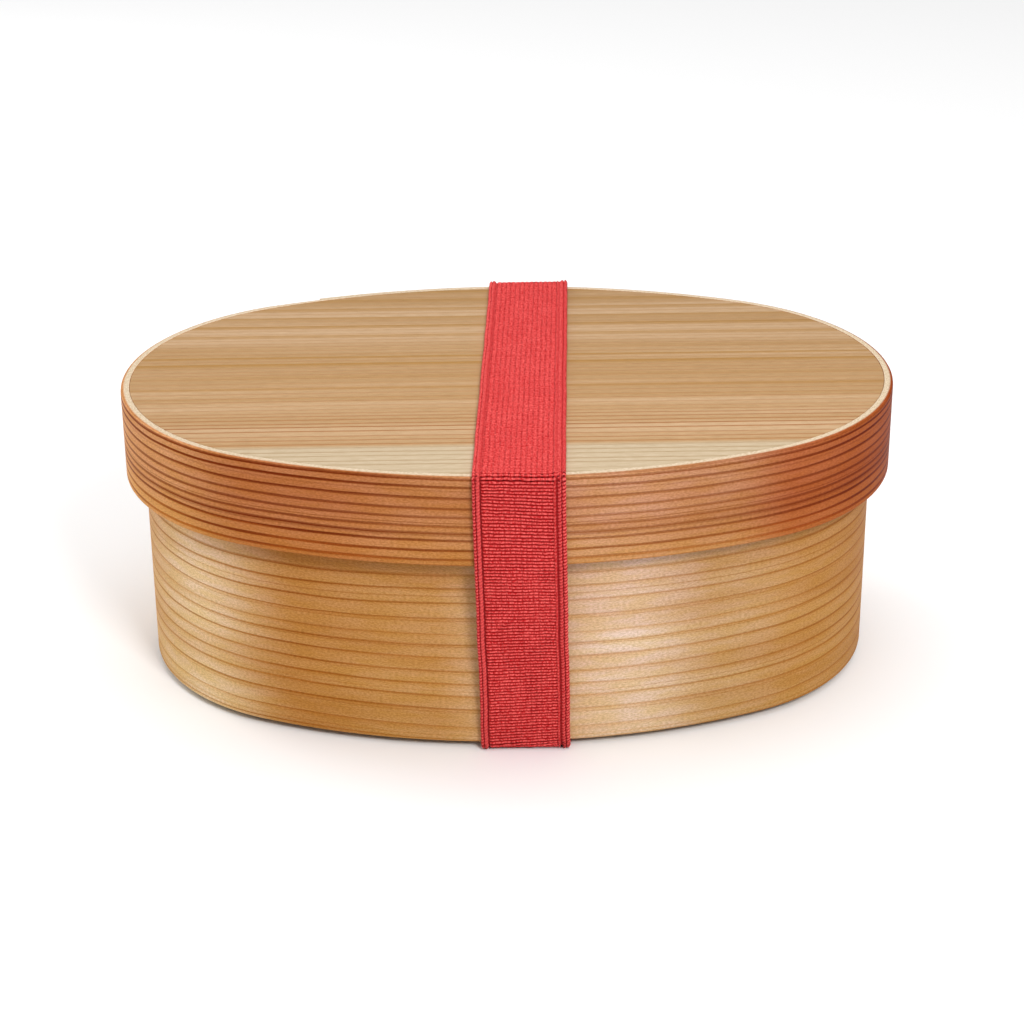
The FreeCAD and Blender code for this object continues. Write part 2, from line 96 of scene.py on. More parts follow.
# Bark lacing, measured from the middle of the back
LACING_ANGLE = math.radians(11)
LACING_WIDTH = 3.6 * MM
LACING_THICKNESS = 0.42 * MM
LACING_PITCH = 5.0 * MM
LACING_BAR = 9.0 * MM
LACING_BEND = 0.35 * MM
LACING_ROUND = 0.12 * MM
LACING_CROWN = 0.06 * MM     # how much its middle bulges
LACING_DRIFT = 0.05 * MM     # how far it strays up or down
LACING_CLEARANCE = 0.02 * MM

# Elastic band
BAND_WIDTH = 20 * MM
BAND_PLACE = 5.2 * MM        # where its middle crosses the ground
BAND_SKEW = 0.045            # how much it moves along the box towards the back
BAND_LEAN = -0.0174          # how much it moves along the box upwards
BAND_THICKNESS = 1.2 * MM
BAND_BEND = 0.9 * MM         # inner radius where it turns a corner
BAND_FOOT = 1.2 * MM         # height of its inner face under the base
BAND_FOOT_SIDE = 56.9 * MM
BAND_SHOULDER_SIDE = 61.3 * MM
ROW_PITCH = 0.77 * MM        # rows across the band
ROW_STEPS = 3
RIB_PITCH = 1.18 * MM        # ribs along the band
RIB_STEPS = 3
LEAST_HEIGHT, MOST_HEIGHT = 0.3, 1.3            # limits of the woven face, in millimetres

# The band's profile: places across it and the height of its outer face there, in millimetres.
# Each edge has two cords, and a groove between them and the ribbed body.
LEFT_EDGE = (
    (-10.0, 0.4), (-9.86, 0.8), (-9.6, 1.04), (-9.38, 0.94), (-9.26, 0.72), (-9.1, 1.02),
    (-8.8, 1.2), (-8.5, 1.02), (-8.34, 0.7), (-8.2, 0.45), (-8.05, 0.66), (-7.9, 0.88),
)
RIGHT_EDGE = (
    (7.25, 0.88), (7.36, 0.95), (7.52, 1.12), (7.7, 0.95), (7.84, 0.58), (8.12, 0.58),
    (8.26, 0.88), (8.58, 1.18), (8.9, 1.02), (9.07, 0.7), (9.24, 1.0), (9.56, 1.14),
    (9.84, 0.82), (10.0, 0.4),
)
BODY_LEFT, BODY_RIGHT = LEFT_EDGE[-1][0], RIGHT_EDGE[0][0]
RIBS = round((BODY_RIGHT - BODY_LEFT) * MM / RIB_PITCH)
CORD = 8.2                   # cords lie further out than this
CORD_SEAMS = (-9.26, 9.07)   # where each corded edge parts into two cords
CORD_SLANT = 0.4             # rows that a corded edge's stitches rise for each millimetre across

# Overlap of the band's ends, and the stitches through it
OVERLAP_FOOT = 13 * MM
OVERLAP_LENGTH = 15 * MM
OVERLAP_RAMP = 4 * MM
STITCH_LENGTH = 1.6 * MM
STITCH_RADIUS = 0.2 * MM
STITCH_DIVE = 0.42 * MM      # how far its ends go down into the band
STITCH_STEPS, STITCH_SIDES = 14, 8
STITCH_PLACES = (0.25, 0.75)  # shares of the overlap's length
STITCHES_PER_ROW = 8


# -------------------- camera, floor and light

def make_camera():
    """A short telephoto view from the front, a little above the box."""
    distance = 587.6 * MM
    elevation = math.radians(24.64)
    azimuth = -0.0172
    roll = 0.008
    aim = Vector((0, 0, 32.5 * MM))
    data = bpy.data.cameras.new("camera")
    data.sensor_width = 36
    data.lens = 85.95
    data.shift_x = 0.0037
    data.clip_start = 0.01
    camera = bpy.data.objects.new("camera", data)
    facing = Matrix.Rotation(azimuth, 4, "Z") @ Matrix.Rotation(math.pi / 2 - elevation, 4, "X")
    away = Matrix.Translation((0, 0, distance)) @ Matrix.Rotation(-roll, 4, "Z")
    camera.matrix_world = Matrix.Translation(aim) @ facing @ away
    bpy.context.scene.collection.objects.link(camera)
    bpy.context.scene.camera = camera


def make_floor():
    """A wide plain floor under the box."""
    reach = 6.0
    mesh = bpy.data.meshes.new("floor")
    corners = [(-reach, -reach, 0), (reach, -reach, 0), (reach, reach, 0), (-reach, reach, 0)]
    mesh.from_pydata(corners, [], [(0, 1, 2, 3)])
    floor = bpy.data.objects.new("floor", mesh)
    bpy.context.scene.collection.objects.link(floor)
    material, tree, shader = new_material("floor")
    set_inputs(tree, shader, {"Base Color": (0.92, 0.92, 0.92, 1), "Roughness": 0.9})
    mesh.materials.append(material)


def make_softbox(name, place, aim, width, height, watts):
    """One rectangular soft light."""
    data = bpy.data.lights.new(name, "AREA")
    data.shape = "RECTANGLE"
    data.size = width
    data.size_y = height
    data.energy = watts
    light = bpy.data.objects.new(name, data)
    light.location = place
    direction = Vector(aim) - Vector(place)
    light.rotation_euler = direction.to_track_quat("-Z", "Y").to_euler()
    bpy.context.scene.collection.objects.link(light)


def make_light():
    """A key light at the front right, light from above and a glancing one from the left rear."""
    make_softbox("overhead", (0.05, 0.15, 1.1), (0, 0, 0.03), 0.9, 0.9, 3.2)
    make_softbox("front_right", (0.3, -0.72, 0.66), (0, 0, 0.035), 0.24, 0.24, 5.0)
    make_softbox("left_rim", (-0.62, 0.42, 0.22), (0, 0, 0.035), 0.3, 0.5, 2.2)
    world = bpy.data.worlds.new("room")
    world.use_nodes = True
    tree = world.node_tree
    up = parts_of(tree, add_node(tree, "ShaderNodeTexCoord").outputs["Generated"])[2]
    strength = fade(tree, up, 0.15, 0.9, 0.15, 0.98)
    set_inputs(tree, tree.nodes["Background"], {"Color": (1, 1, 1, 1), "Strength": strength})
    bpy.context.scene.world = world
    bpy.context.scene.view_settings.view_transform = "Standard"


# -------------------- shader helpers

def new_material(name):
    """A material, its node tree and its shader."""
    material = bpy.data.materials.new(name)
    material.use_nodes = True
    return material, material.node_tree, material.node_tree.nodes["Principled BSDF"]


def set_inputs(tree, node, inputs):
    """Give a node's sockets their values or links."""
    for key, value in inputs.items():
        if isinstance(value, bpy.types.NodeSocket):
            tree.links.new(value, node.inputs[key])
        else:
            node.inputs[key].default_value = value


def add_node(tree, kind, inputs=None, **settings):
    """Add a node: settings are its properties, inputs its sockets' values or links."""
    node = tree.nodes.new(kind)
    for key, value in settings.items():
        setattr(node, key, value)
    set_inputs(tree, node, inputs or {})
    return node


def calculate(tree, operation, *values, clamp=False):
    """One step of arithmetic."""
    inputs = dict(enumerate(values))
    return add_node(tree, "ShaderNodeMath", inputs, operation=operation, use_clamp=clamp).outputs[0]


def times(tree, first, second):
    """One number multiplied by another."""
    return calculate(tree, "MULTIPLY", first, second)


def plus(tree, first, second):
    """One number added to another."""
    return calculate(tree, "ADD", first, second)


def distance_from(tree, value, place):
    """How far a number is from a place, whichever way."""
    return calculate(tree, "ABSOLUTE", calculate(tree, "SUBTRACT", value, place))


def fade(tree, value, start, stop, low=0.0, high=1.0):
    """A smooth step from low at start to high at stop."""
    inputs = {"Value": value, "From Min": start, "From Max": stop, "To Min": low, "To Max": high}
    return add_node(tree, "ShaderNodeMapRange", inputs, interpolation_type="SMOOTHSTEP").outputs[0]


def stretch(tree, vector, factors):
    """Scale a vector's three parts."""
    inputs = {0: vector, 1: factors}
    return add_node(tree, "ShaderNodeVectorMath", inputs, operation="MULTIPLY").outputs[0]


def noise(tree, vector, factors, detail=2.0, roughness=0.5):
    """Noise from about 0 to 1 over a vector scaled by these factors."""
    vector = stretch(tree, vector, factors)
    inputs = {"Vector": vector, "Scale": 1.0, "Detail": detail, "Roughness": roughness}
    return add_node(tree, "ShaderNodeTexNoise", inputs, noise_dimensions="3D").outputs[0]


def parts_of(tree, vector):
    """A vector's three parts."""
    return add_node(tree, "ShaderNodeSeparateXYZ", {0: vector}).outputs


def stored(tree, name, output):
    """What the mesh stores under this name: its "Vector", or one number as "Fac"."""
    return add_node(tree, "ShaderNodeAttribute", attribute_name=name).outputs[output]


def place_in_mm(tree):
    """The point's own place, in millimetres."""
    place = add_node(tree, "ShaderNodeTexCoord").outputs["Object"]
    return stretch(tree, place, (1 / MM, 1 / MM, 1 / MM))


def blend(tree, share, first, second, mode="MIX"):
    """Mix two colours."""
    inputs = {0: share, 6: first, 7: second}
    return add_node(tree, "ShaderNodeMix", inputs, data_type="RGBA", blend_type=mode).outputs[2]


def tint(tree, share, tone, factors):
    """Multiply a tone's red, green and blue by these factors, by this share."""
    return blend(tree, share, tone, (*factors, 1.0), "MULTIPLY")


def vary(tree, share, tone, first, second):
    """Let a tone vary from itself times the first factors to itself times the second."""
    return blend(tree, share, tint(tree, 1.0, tone, first), tint(tree, 1.0, tone, second))


def bump(tree, height, strength, distance):
    """Fine relief."""
    inputs = {"Height": height, "Strength": strength, "Distance": distance}
    return add_node(tree, "ShaderNodeBump", inputs).outputs[0]


def within(tree, value, outer_low, low, high, outer_high):
    """One between low and high, fading to nothing at the outer two."""
    return times(tree, fade(tree, value, outer_low, low), fade(tree, value, outer_high, high))


def colour(red, green, blue):
    """A colour as it would be read off a screen, from 0 to 255, made linear."""
    def linear(value):
        value /= 255
        return value / 12.92 if value <= 0.04045 else ((value + 0.055) / 1.055) ** 2.4
    return (linear(red), linear(green), linear(blue), 1.0)


def board_grain(tree, axes):
    """Where a point lies in a board, in millimetres: along the grain, across the rings, depth.

    These are the board's own axes, in this order. A strip is bent, so it stores them instead.
    """
    own = parts_of(tree, place_in_mm(tree))
    turned = {place: own[axis] for place, axis in enumerate(axes)}
    return add_node(tree, "ShaderNodeCombineXYZ", turned).outputs[0]


# -------------------- wood

def ring_lines(tree, across, pitch, width, softness, seed):
    """Growth rings: how strongly a point is on a late-wood line, how dark the wood is before
    the line, and the ring's own random value.

    Each ring darkens gradually towards its line and ends there sharply.
    """
    place = plus(tree, calculate(tree, "DIVIDE", across, pitch), seed)
    inputs = {"W": place, "Scale": 1.0, "Randomness": 0.75}

    def cells(feature):
        kind = "ShaderNodeTexVoronoi"
        return add_node(tree, kind, inputs, voronoi_dimensions="1D", feature=feature).outputs

    edge = cells("DISTANCE_TO_EDGE")["Distance"]
    ring = cells("F1")
    line = fade(tree, edge, 0.6 * width / pitch, 0.25 * width / pitch)
    side = calculate(tree, "SUBTRACT", place, ring["W"])
    shade = times(tree, fade(tree, edge, softness, 0.0), fade(tree, side, -0.05, 0.1))
    own = add_node(tree, "ShaderNodeSeparateColor", {0: ring["Color"]}).outputs[0]
    return line, shade, own


def wavy(tree, grain, drift, wobble):
    """The across-ring coordinate, bent by slow drift along the grain and a finer wobble."""
    across = parts_of(tree, grain)[1]
    slow = noise(tree, grain, (0.006, 0.02, 0.02), detail=1.0)
    fine = noise(tree, grain, (0.05, 0.35, 0.1))
    for uneven, amount in ((slow, drift), (fine, wobble)):
        shift = calculate(tree, "SUBTRACT", uneven, 0.5)
        across = plus(tree, across, times(tree, shift, amount))
    return across


def fibres(tree, grain, fleck_length):
    """Fine fibre streaks and flecks of this length, both stretched along the grain."""
    streaks = noise(tree, grain, (0.045, 3.2, 1.5), detail=4.0, roughness=0.65)
    flecks = noise(tree, grain, (1 / fleck_length, 3.4, 3.4), detail=3.0, roughness=0.7)
    return streaks, flecks


def finish_wood(tree, shader, tone, relief, flecks, contrast, gloss):
    """Join the colour to the shader with flecks of this contrast and a satin surface."""
    flecked = vary(tree, fade(tree, flecks, 0.34, 0.66), tone, (0.84, 0.8, 0.72), (1.15, 1.18, 1.25))
    set_inputs(tree, shader, {
        "Base Color": blend(tree, contrast, tone, flecked),
        "Roughness": fade(tree, flecks, 0.3, 0.75, 0.44, 0.58),
        "Specular IOR Level": gloss,
        "Normal": bump(tree, relief, 0.4, 0.15 * MM),
    })


def tone_and_light_along(tree, along, stops):
    """The clear wood's tone with painted sheen and painted shade, which drifts through (millimetres along
    the strip, tone) stops.
    """
    length = stops[-1][0]
    node = add_node(tree, "ShaderNodeValToRGB", {0: calculate(tree, "DIVIDE", along, length)})
    ramp = node.color_ramp
    ramp.interpolation = "EASE"
    for element, (place, tone) in zip(ramp.elements, (stops[0], stops[-1])):
        element.position = place / length
        element.color = colour(*tone)
    for place, tone in stops[1:-1]:
        ramp.elements.new(place / length).color = colour(*tone)
    return node.outputs[0]


def late_wood_tone(tree, grain, own, redness, clear, golden, dark):
    """A ring line's tone: golden to dark factors of clear wood, by chance and with its redness."""
    along_line = noise(tree, grain, (0.03, 0.25, 0.1))
    darkness = plus(tree, plus(tree, along_line, times(tree, own, 0.3)), times(tree, redness, 0.5))
    return vary(tree, fade(tree, darkness, 0.55, 1.0), clear, golden, dark)


def cedar_strip(name, pitch, width, drift, seed, weakest, late_wood, reddens, rim_tone, stops):
    """Quarter-sawn cedar bent into a strip: rings run round it as level lines.

    Rings are pitch apart and their lines width wide, and the weakest line is this strong.
    late_wood is what a golden line and a dark one do to the clear wood's red, green and blue.
    The wood and its lines turn from golden to red between the two heights in reddens.
    Lines are softest under the painted sheen, where the strip is palest.
    """
    material, tree, shader = new_material(name)
    grain = stored(tree, "grain", "Vector")
    along = parts_of(tree, grain)[0]
    across = wavy(tree, grain, drift, 0.45)
    line, shade, own = ring_lines(tree, across, pitch, width, 0.42, seed)
    second, _, second_own = ring_lines(tree, across, 1.7 * pitch, 0.7 * width, 0.42, seed + 5.3)
    streaks, flecks = fibres(tree, grain, 0.77)

    mottle = noise(tree, grain, (0.1, 0.45, 0.3), detail=3.0)
    redness = fade(tree, across, *reddens)
    # Besides the wood's own drift in tone, these stops paint sheen and shade along the strip
    clear = tone_and_light_along(tree, along, stops)
    clear = vary(tree, fade(tree, mottle, 0.35, 0.65), clear, (1.02, 1.03, 1.14), (0.98, 0.96, 0.84))
    clear = vary(tree, redness, clear, (1.04, 1.08, 0.92), (0.98, 0.95, 1.0))
    patch = noise(tree, grain, (0.014, 0.1, 0.1))
    tone = tint(tree, fade(tree, patch, 0.38, 0.62), clear, (0.9, 0.82, 0.72))
    tone = tint(tree, times(tree, shade, 0.5), tone, (0.88, 0.7, 0.42))
    tone = tint(tree, fade(tree, streaks, 0.5, 0.8, 0.0, 0.3), tone, (0.75, 0.58, 0.4))

    line_tone = late_wood_tone(tree, grain, own, redness, clear, *late_wood)
    strength = times(tree, line, fade(tree, own, 0.0, 0.7, weakest, 1.0))
    # Painted sheen: lines fade round the palest place, as if a sheen lay over them
    strength = times(tree, strength, fade(tree, distance_from(tree, along, PAINTED_SHEEN_AT), 15.0, 75.0, 0.6, 1.0))
    faint = times(tree, second, fade(tree, second_own, 0.2, 0.9, 0.0, 0.6))
    tone = blend(tree, faint, tone, line_tone)
    tone = blend(tree, strength, tone, line_tone)
    tone = blend(tree, stored(tree, "rim", "Fac"), tone, rim_tone)

    relief = plus(tree, times(tree, streaks, 0.5), times(tree, line, 0.5))
    relief = plus(tree, relief, times(tree, flecks, 0.9))
    finish_wood(tree, shader, tone, relief, flecks, contrast=1.0, gloss=0.03)
    return material


def cedar_board(name, axes, sapwood_edge=None):
    """A flat cedar board with straight grain.

    Rings are fine on the near side and widen into soft bands away from it. Past
    sapwood_edge, in millimetres across, the wood is pale.
    """
    material, tree, shader = new_material(name)
    grain = board_grain(tree, axes)
    across = wavy(tree, grain, 1.2, 0.4)
    fine_line, fine_shade, fine_own = ring_lines(tree, across, 2.3, 0.7, 0.5, 7.0)
    _, wide_shade, wide_own = ring_lines(tree, across, 6.5, 1.2, 0.5, 2.0)
    streaks, flecks = fibres(tree, grain, 4.0)

    patch = noise(tree, grain, (0.003, 0.09, 0.05))
    tone = blend(tree, fade(tree, patch, 0.35, 0.65), colour(192, 159, 122), colour(175, 138, 94))
    far = fade(tree, across, -27.0, -4.0)
    fine = times(tree, fine_line, fade(tree, fine_own, 0.0, 1.0, 0.25, 1.0))
    fine = times(tree, fine, fade(tree, far, 0.0, 1.0, 1.0, 0.3))
    wide = times(tree, wide_shade, fade(tree, wide_own, 0.0, 1.0, 0.3, 0.85))
    wide = times(tree, wide, far)
    tone = blend(tree, times(tree, fine_shade, 0.3), tone, colour(184, 134, 84))
    tone = blend(tree, fine, tone, colour(154, 100, 54))
    tone = blend(tree, wide, tone, colour(164, 119, 54))
    tone = blend(tree, fade(tree, streaks, 0.5, 0.8, 0.0, 0.4), tone, colour(164, 118, 74))
    if sapwood_edge is not None:
        pale = fade(tree, across, sapwood_edge + 1.0, sapwood_edge - 1.5, 0.0, 0.85)
        sap_line, _, sap_own = ring_lines(tree, across, 2.4, 0.9, 0.5, 4.0)
        sap_share = times(tree, sap_line, fade(tree, sap_own, 0.0, 0.8, 0.2, 0.8))
        sap_tone = blend(tree, sap_share, colour(192, 174, 145), colour(160, 136, 100))
        tone = blend(tree, pale, tone, sap_tone)

    relief = plus(tree, times(tree, streaks, 0.7), times(tree, flecks, 0.5))
    finish_wood(tree, shader, tone, relief, flecks, contrast=0.55, gloss=0.22)
    return material


def cherry_bark():
    """Polished cherry bark: dark red-brown with short pale marks across it."""
    material, tree, shader = new_material("cherry_bark")
    place = place_in_mm(tree)
    cloud = noise(tree, place, (0.5, 0.5, 0.5), detail=3.0)
    marks = noise(tree, place, (0.4, 0.4, 4.0))
    tone = blend(tree, fade(tree, cloud, 0.3, 0.7), colour(84, 28, 10), colour(128, 54, 20))
    tone = blend(tree, fade(tree, marks, 0.62, 0.7, 0.0, 0.6), tone, colour(190, 140, 96))
    set_inputs(tree, shader, {
        "Base Color": tone, "Roughness": 0.42, "Specular IOR Level": 0.3,
        "Normal": bump(tree, marks, 0.3, 0.08 * MM),
    })
    return material


# -------------------- mesh helpers

def oval(direction, inset):
    """Points of the oval where its outward direction has this angle, inset by inset."""
    turn = np.mod(direction, 2 * math.pi)
    back = (turn > JOIN) & (turn < math.pi - JOIN)
    front = (turn > math.pi + JOIN) & (turn < 2 * math.pi - JOIN)
    side = back | front
    centre_x = np.where(side, 0.0, np.where(np.cos(turn) > 0, END_CENTRE, -END_CENTRE))
    centre_y = np.where(back, -SIDE_CENTRE, np.where(front, SIDE_CENTRE, 0.0))
    radius = np.where(side, SIDE_RADIUS, END_RADIUS) - inset
    return centre_x + radius * np.cos(turn), centre_y + radius * np.sin(turn)


def even_directions(start, stop, spacing):
    """Outward angles from start to stop that step evenly along the outline, and their distances."""
    samples = 20001
    fine = np.linspace(start, stop, samples)
    x, y = oval(fine, 0.0)
    steps = np.hypot(np.diff(x), np.diff(y))
    distance = np.concatenate([[0.0], np.cumsum(steps)])
    count = int(distance[-1] / spacing) + 1
    even = np.linspace(0.0, distance[-1], count)
    return np.interp(even, distance, fine), even


def new_piece(name, vertices, faces, material, smooth_angle=30):
    """A mesh object with one material, smooth but for edges sharper than smooth_angle."""
    mesh = bpy.data.meshes.new(name)
    mesh.from_pydata([tuple(vertex) for vertex in vertices], [], faces)
    mesh.validate()
    mesh.polygons.foreach_set("use_smooth", [True] * len(mesh.polygons))
    mesh.set_sharp_from_angle(angle=math.radians(smooth_angle))
    mesh.materials.append(material)
    piece = bpy.data.objects.new(name, mesh)
    bpy.context.scene.collection.objects.link(piece)
    return piece


def tube_faces(stations, points):
    """Quads between stations that are closed rings of points, and the two end faces."""
    faces = []
    for row in range(stations - 1):
        below, above = row * points, (row + 1) * points
        for column in range(points):
            beside = (column + 1) % points
            faces.append((below + column, below + beside, above + beside, above + column))
    last = (stations - 1) * points
    return faces + [tuple(range(points))[::-1], tuple(range(last, last + points))]


def new_tube(name, rings, material, smooth_angle=30):
    """A closed piece from an array of rings of points."""
    return new_piece(name, rings.reshape(-1, 3), tube_faces(*rings.shape[:2]), material, smooth_angle)


def face_outwards(piece):
    """Turn every face so that it looks out of the solid."""
    shape = bmesh.new()
    shape.from_mesh(piece.data)
    bmesh.ops.recalc_face_normals(shape, faces=shape.faces)
    shape.to_mesh(piece.data)
    shape.free()


def store(piece, name, values):
    """Store one number or one vector for each vertex."""
    values = np.asarray(values, np.float32)
    kind, field = ("FLOAT", "value") if values.ndim == 1 else ("FLOAT_VECTOR", "vector")
    attribute = piece.data.attributes.new(name, kind, "POINT")
    attribute.data.foreach_set(field, values.ravel())


def ease(share):
    """A smooth step for a share from 0 to 1."""
    return share * share * (3 - 2 * share)


def curve(start, corner, stop, share):
    """A point on the parabola from start to stop that heads for the corner."""
    return (1 - share) ** 2 * start + 2 * share * (1 - share) * corner + share ** 2 * stop


def rounded_outline(corners, steps=5):
    """A closed outline with each (x, y, radius) corner rounded off in steps."""
    points = []
    count = len(corners)
    for index, (x, y, radius) in enumerate(corners):
        corner = np.array((x, y))
        before = np.array(corners[index - 1][:2]) - corner
        after = np.array(corners[(index + 1) % count][:2]) - corner
        reach = min(radius, 0.45 * np.linalg.norm(before), 0.45 * np.linalg.norm(after))
        start = corner + before / max(np.linalg.norm(before), 1e-9) * reach
        stop = corner + after / max(np.linalg.norm(after), 1e-9) * reach
        points += [curve(start, corner, stop, share) for share in np.linspace(0.0, 1.0, steps)]
    return np.array(points)


# -------------------- bentwood strips

def lap_offsets(direction, thickness):
    """How far a lapped strip's outer and inner faces lie in from its nominal outline.

    The strip starts under its own end, runs once round the box and ends on top of its start.
    """
    turns = [LAP_NEAR, LAP_FAR, LAP_RETURN, 2 * math.pi + LAP_NEAR, 2 * math.pi + LAP_FAR]
    stacked = thickness + SCARF_TIP + GLUE
    outer = np.interp(direction, turns, [thickness + GLUE, SCARF_TIP + GLUE, 0.0, 0.0, 0.0])
    inner = np.interp(direction, turns, [stacked, stacked, thickness, thickness, SCARF_TIP])
    return outer, inner


def strip_sections(direction, inset, thickness, corners_at):
    """The strip's vertices, one rounded section for each direction, and their depths in the wood."""
    outer, inner = lap_offsets(direction, thickness)
    rings, depths = [], []
    for turn, near, far in zip(direction, outer, inner):
        outer_ease = HIDDEN_EASE if turn < LAP_FAR else 1.0
        inner_ease = HIDDEN_EASE if turn > 2 * math.pi + LAP_NEAR else 1.0
        section = rounded_outline(corners_at(near, far, outer_ease, inner_ease))
        x, y = oval(np.full(len(section), turn), inset + section[:, 0])
        rings.append(np.column_stack([x, y, section[:, 1]]))
        depths.append(section[:, 0] - near)
    return np.array(rings), np.array(depths)


def make_strip(name, inset, thickness, corners_at, material, top):
    """A bent strip whose scarfed ends overlap behind the box."""
    direction, distance = even_directions(LAP_NEAR, 2 * math.pi + LAP_FAR, STATION)
    rings, depths = strip_sections(direction, inset, thickness, corners_at)
    piece = new_tube(name, rings, material)
    along = np.repeat(distance[:, None], rings.shape[1], axis=1)
    grain = np.stack([along, rings[:, :, 2], depths], axis=2) / MM
    rim_depth = 0.03 * MM
    store(piece, "grain", grain.reshape(-1, 3))
    store(piece, "rim", (rings[:, :, 2] > top - rim_depth).ravel())
    return piece


def rabbet_corners(near, far, rabbet):
    """Whether a lapped end lies wholly in the rabbet, how far in its lip reaches, and its sliver."""
    inside = near > rabbet - LEAST_STRIP
    lip = (near + far) / 2 if inside else min(rabbet, far - LEAST_LIP)
    return inside, lip, SLIVER if inside else 0.0


def make_lid_hoop(material):
    """The lid's strip, with a rabbet inside its upper edge."""
    foot, top = HOOP_LOW.z, HOOP_HIGH.z
    shelf = top - BOARD_THICKNESS
    rabbet = HOOP_BOARD_INSET - BOARD_GAP
    foot_round, rim_round, lip_round = 0.5 * MM, 0.9 * MM, 0.12 * MM

    def corners_at(near, far, outer_ease, inner_ease):
        inside, lip, sliver = rabbet_corners(near, far, rabbet)
        crown = shelf if inside else top
        return [
            (near, foot, foot_round * outer_ease),
            (near, crown, rim_round * outer_ease),
            (lip, crown, lip_round * inner_ease),
            (lip, shelf - sliver, RABBET_ROUND),
            (far, shelf - 2 * sliver, SHELF_ROUND * inner_ease),
            (far, foot, foot_round * inner_ease),
        ]

    piece = make_strip("lid_hoop_strip", 0.0, HOOP_THICKNESS, corners_at, material, top)
    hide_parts("lid_hoop")
    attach(piece, "lid")


def make_base_wall(material):
    """The base's strip, with a rabbet inside its lower edge."""
    foot, top = WALL_LOW.z, WALL_HIGH.z
    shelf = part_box("base_bottom")[1].z
    rabbet = BASE_BOARD_INSET - BASE_INSET - BOARD_GAP
    foot_round, rim_round, lip_round = 0.8 * MM, 0.8 * MM, 0.3 * MM

    def corners_at(near, far, outer_ease, inner_ease):
        inside, lip, sliver = rabbet_corners(near, far, rabbet)
        heel = shelf if inside else foot
        return [
            (near, heel, foot_round * outer_ease),
            (near, top, rim_round * outer_ease),
            (far, top, rim_round * inner_ease),
            (far, shelf + 2 * sliver, SHELF_ROUND * inner_ease),
            (lip, shelf + sliver, RABBET_ROUND),
            (lip, heel, lip_round * inner_ease),
        ]

    piece = make_strip("base_wall_strip", BASE_INSET, WALL_THICKNESS, corners_at, material, top)
    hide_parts("base_wall")
    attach(piece, "base")


def make_board(name, node, body, inset, material):
    """An oval board, eased all round both faces."""
    low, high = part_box(node)
    direction = even_directions(0.0, 2 * math.pi, STATION)[0][:-1]
    levels = [
        (low.z, BOARD_EASE),
        (low.z + BOARD_EASE, 0.0),
        (high.z - BOARD_EASE, 0.0),
        (high.z - 0.3 * BOARD_EASE, 0.3 * BOARD_EASE),
        (high.z, BOARD_EASE),
    ]
    rings = []
    for height, tuck in levels:
        x, y = oval(direction, inset + BOARD_GAP * 0.5 + tuck)
        rings.append(np.column_stack([x, y, np.full(len(x), height)]))
    piece = new_tube(name, np.array(rings), material)
    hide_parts(node)
    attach(piece, body)


# -------------------- elastic band

def band_route():
    """The band's inner face seen from the end: closely spaced (Y, Z) points and their distances.

    It runs from its hidden end up the back, over the lid, down the front, under the base
    and up the back again, past its own start.
    """
    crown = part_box("band_upper")[1].z - BAND_THICKNESS
    shoulder = HOOP_LOW.z
    slope = (BAND_SHOULDER_SIDE - BAND_FOOT_SIDE) / (shoulder - BAND_FOOT)
    rise = math.hypot(1.0, slope)

    def on_back(climb):
        return (BAND_FOOT_SIDE + slope * climb / rise, BAND_FOOT + climb / rise)

    corners = [
        on_back(OVERLAP_FOOT),
        (BAND_SHOULDER_SIDE, shoulder),
        (BAND_SHOULDER_SIDE, crown),
        (-BAND_SHOULDER_SIDE, crown),
        (-BAND_SHOULDER_SIDE, shoulder),
        (-BAND_FOOT_SIDE, BAND_FOOT),
        (BAND_FOOT_SIDE, BAND_FOOT),
        on_back(OVERLAP_FOOT + OVERLAP_LENGTH),
    ]
    line = bend_corners(np.array(corners), BAND_BEND)
    steps = np.hypot(*np.diff(line, axis=0).T)
    distance = np.concatenate([[0.0], np.cumsum(steps)])
    return line, distance


def bend_corners(corners, radius):
    """A polyline with its corners turned at this radius, as closely spaced points."""
    points = [corners[0]]
    for before, corner, after in zip(corners, corners[1:], corners[2:]):
        back = (before - corner) / np.linalg.norm(before - corner)
        on = (after - corner) / np.linalg.norm(after - corner)
        half = math.acos(np.clip(np.dot(back, on), -1.0, 1.0)) / 2
        middle = corner + (back + on) / np.linalg.norm(back + on) * radius / math.sin(half)
        start = corner + back * radius / math.tan(half) - middle
        first = math.atan2(start[1], start[0])
        turn = np.sign(back[1] * on[0] - back[0] * on[1]) * (math.pi - 2 * half)
        for angle in np.linspace(first, first + turn, 13):
            points.append(middle + radius * np.array([math.cos(angle), math.sin(angle)]))
    points.append(corners[-1])
    return np.array(points)


